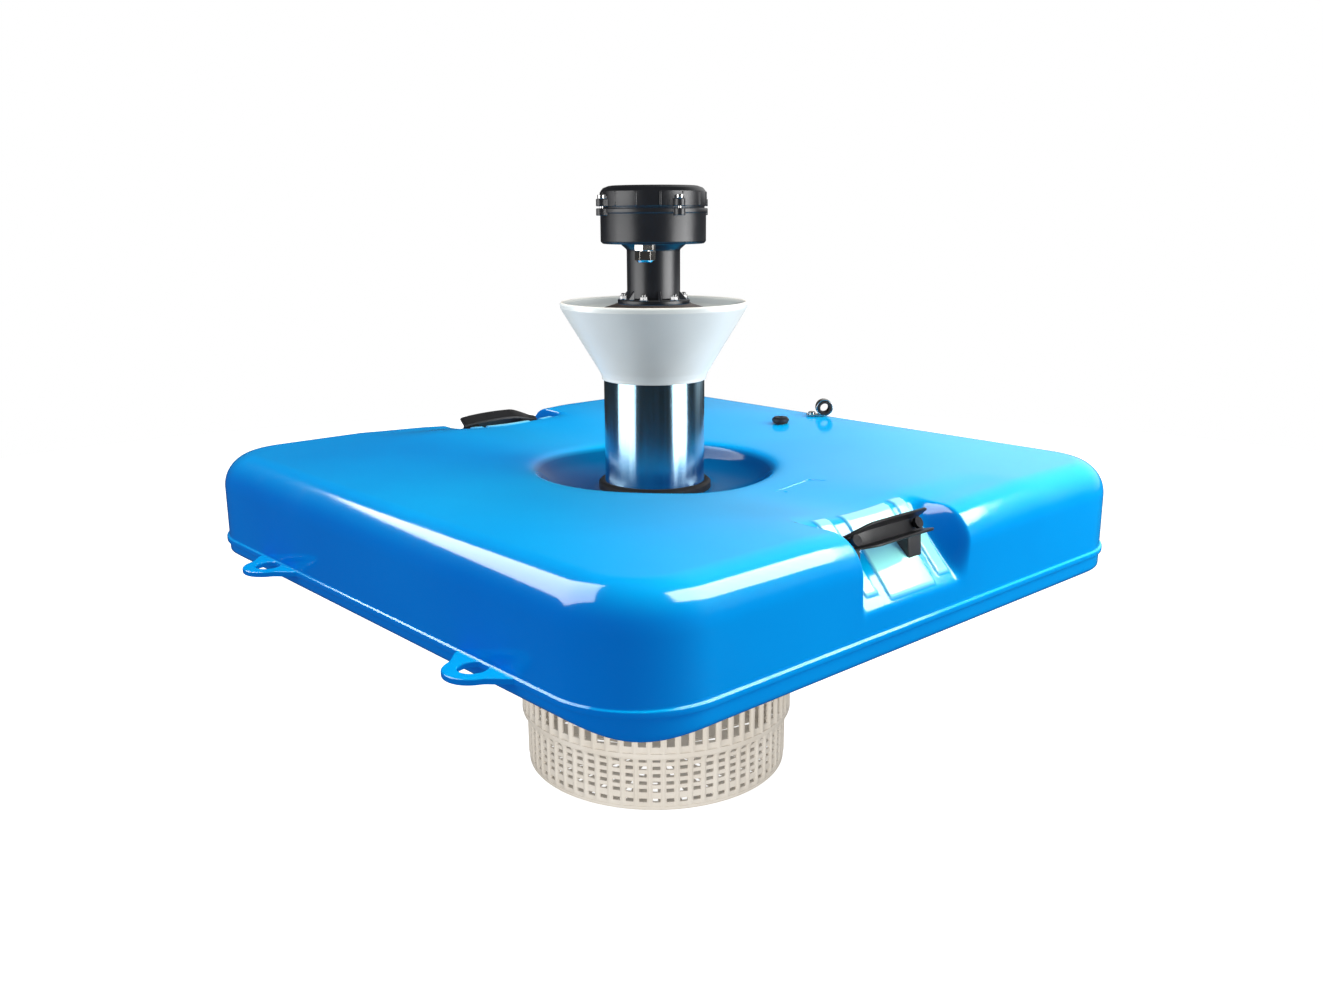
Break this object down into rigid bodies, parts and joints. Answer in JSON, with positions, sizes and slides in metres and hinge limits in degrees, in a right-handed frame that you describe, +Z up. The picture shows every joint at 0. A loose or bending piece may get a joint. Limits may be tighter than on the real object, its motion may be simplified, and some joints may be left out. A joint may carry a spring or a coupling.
{
  "type": "splash aerator",
  "caption": "Square float with a vertical riser tube, spray cone, neck-mounted terminal housing, submerged motor and propeller, and a strainer basket below.",
  "frame": {"origin": "on the riser axis, in the plane on which the strainer basket stands", "axes": "+Z up along the riser, +X across the float through the two hand grips, +Y through the sides with the mooring ears"},
  "size_m": [0.806, 0.8558, 0.6874],
  "materials": {
    "float_blue": "gloss",
    "grip_black": "satin",
    "plug_black": "satin",
    "seal_rubber": "matte",
    "fastener_steel": "satin",
    "polished_tube": "polished",
    "stainless": "satin",
    "cone_white": "satin",
    "bronze": "satin",
    "housing_black": "satin",
    "nickel": "gloss",
    "block_grey": "matte",
    "capacitor_can": "satin",
    "lead_black": "matte",
    "cast_cap": "satin",
    "lamination": "matte",
    "copper": "satin",
    "basket_cream": "satin"
  },
  "bodies": {
    "float": {"float_upper_shell": "float_blue", "float_lower_shell": "float_blue", "handle_grip_front": "grip_black", "handle_grip_rear": "grip_black", "handle_screws": "fastener_steel", "cable_clip": "fastener_steel", "clip_liner": "seal_rubber", "clip_screw": "fastener_steel", "riser_tube": "polished_tube", "riser_flange": "stainless", "riser_bolts": "fastener_steel", "tube_collar": "seal_rubber", "spray_cone": "cone_white", "deflector_plate": "bronze", "motor_stem": "stainless", "stem_spider": "stainless", "neck_bolts": "fastener_steel", "neck_nuts": "fastener_steel", "neck_foot": "housing_black", "terminal_neck": "housing_black", "terminal_base": "housing_black", "terminal_housing": "housing_black", "lid_seal": "seal_rubber", "gland_body": "nickel", "gland_locknut": "nickel", "gland_seal": "seal_rubber", "terminal_block": "block_grey", "run_capacitor": "capacitor_can", "motor_lead": "lead_black", "motor_can": "stainless", "motor_top_cap": "cast_cap", "motor_bottom_cap": "cast_cap", "stator_core": "lamination", "stator_winding": "copper", "upper_bearing": "stainless", "lower_bearing": "stainless", "shaft_seal": "seal_rubber", "motor_spider": "stainless", "spider_screws": "fastener_steel"},
    "rotor": {"motor_rotor": "lamination", "motor_shaft": "stainless", "propeller": "bronze", "propeller_nut": "fastener_steel"},
    "lid": {"terminal_lid": "housing_black", "lid_screws": "fastener_steel"},
    "gland_cap": {"gland_nut": "nickel"},
    "plug": {"float_plug": "plug_black", "plug_seal": "seal_rubber"},
    "basket": {"strainer_basket": "basket_cream", "basket_screws": "fastener_steel"}
  },
  "joints": [
    {"name": "propeller_spin", "type": "hinge", "parent": "float", "child": "rotor", "pos_m": [0, 0, 0.2], "axis": [0, 0, 1], "continuous": true},
    {"name": "lid_lift", "type": "slide", "parent": "float", "child": "lid", "axis": [0, 0, 1], "range_m": [0, 0.08]},
    {"name": "gland_nut_turn", "type": "hinge", "parent": "float", "child": "gland_cap", "pos_m": [0.0267, -0.03622, 0.61], "axis": [0, 0, 1], "continuous": true},
    {"name": "plug_pull", "type": "slide", "parent": "float", "child": "plug", "axis": [0, 0, 1], "range_m": [0, 0.03]},
    {"name": "basket_drop", "type": "slide", "parent": "float", "child": "basket", "axis": [0, 0, -1], "range_m": [0, 0.16]}
  ]
}
